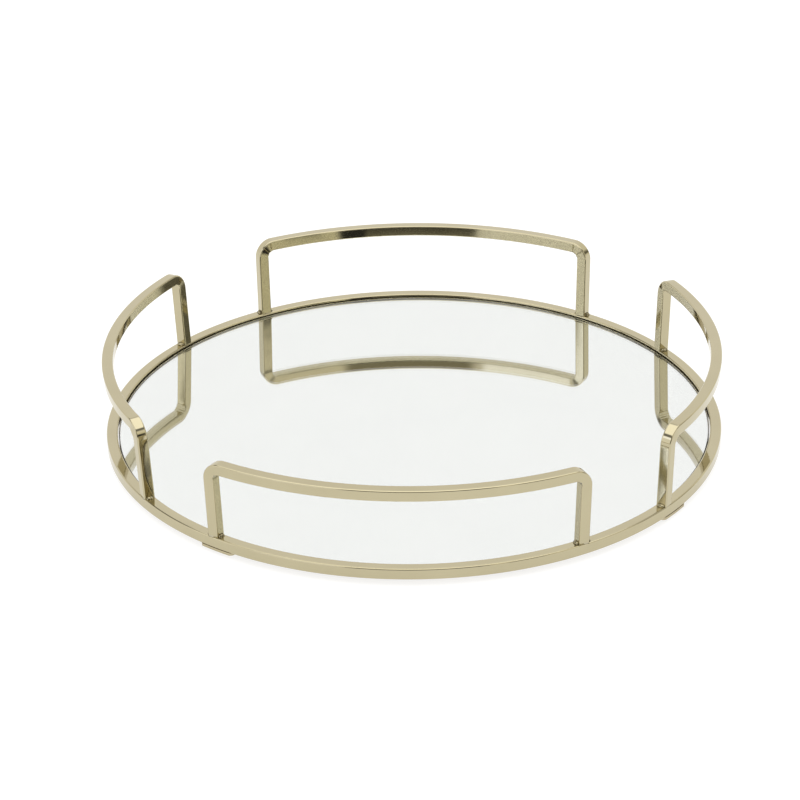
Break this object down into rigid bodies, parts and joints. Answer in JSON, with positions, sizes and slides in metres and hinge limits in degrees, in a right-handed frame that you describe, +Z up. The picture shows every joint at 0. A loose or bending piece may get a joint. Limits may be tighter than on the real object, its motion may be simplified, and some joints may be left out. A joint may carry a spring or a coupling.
{
  "type": "vanity tray",
  "caption": "Round mirrored vanity tray on a plated square-bar ring, with bent guard rails welded round its rim and soft pads below.",
  "frame": {"origin": "on the tray's axis, in the plane of the pads' soles, which is where it stands", "axes": "+Z up, square to the mirror; -Y towards the front rail; +X towards the right rail"},
  "size_m": [0.3305, 0.3305, 0.0533],
  "materials": {
    "plated_bar": "pale gold electroplate over polished steel bar, bright, with faint drawing lines along the bar",
    "plated_weld": "pale gold electroplate over small rippled weld beads",
    "plated_plate": "pale gold electroplate over pressed steel plate, with a sheared edge",
    "soft_pad": "matt black anti-slip rubber with a fine grain",
    "glue": "set hot-melt glue, translucent amber white",
    "hardboard": "brown hardboard, smooth pressed face with fine fibres",
    "tape": "double-sided tissue tape, matt",
    "silvering": "silvering seen through the glass, with grey protective paint behind it",
    "clear_glass": "clear float glass with a ground edge"
  },
  "bodies": {
    "root": {"base_ring": "plated_bar", "front_rail": "plated_bar", "right_rail": "plated_bar", "rear_rail": "plated_bar", "left_rail": "plated_bar", "rail_welds": "plated_weld", "front_left_tab": "plated_plate", "front_right_tab": "plated_plate", "rear_right_tab": "plated_plate", "rear_left_tab": "plated_plate", "tab_welds": "plated_weld", "front_left_pad": "soft_pad", "front_right_pad": "soft_pad", "rear_right_pad": "soft_pad", "rear_left_pad": "soft_pad", "tab_glue": "glue", "backing_board": "hardboard", "bonding_tape": "tape", "mirror_coating": "silvering", "mirror_glass": "clear_glass"}
  },
  "joints": []
}
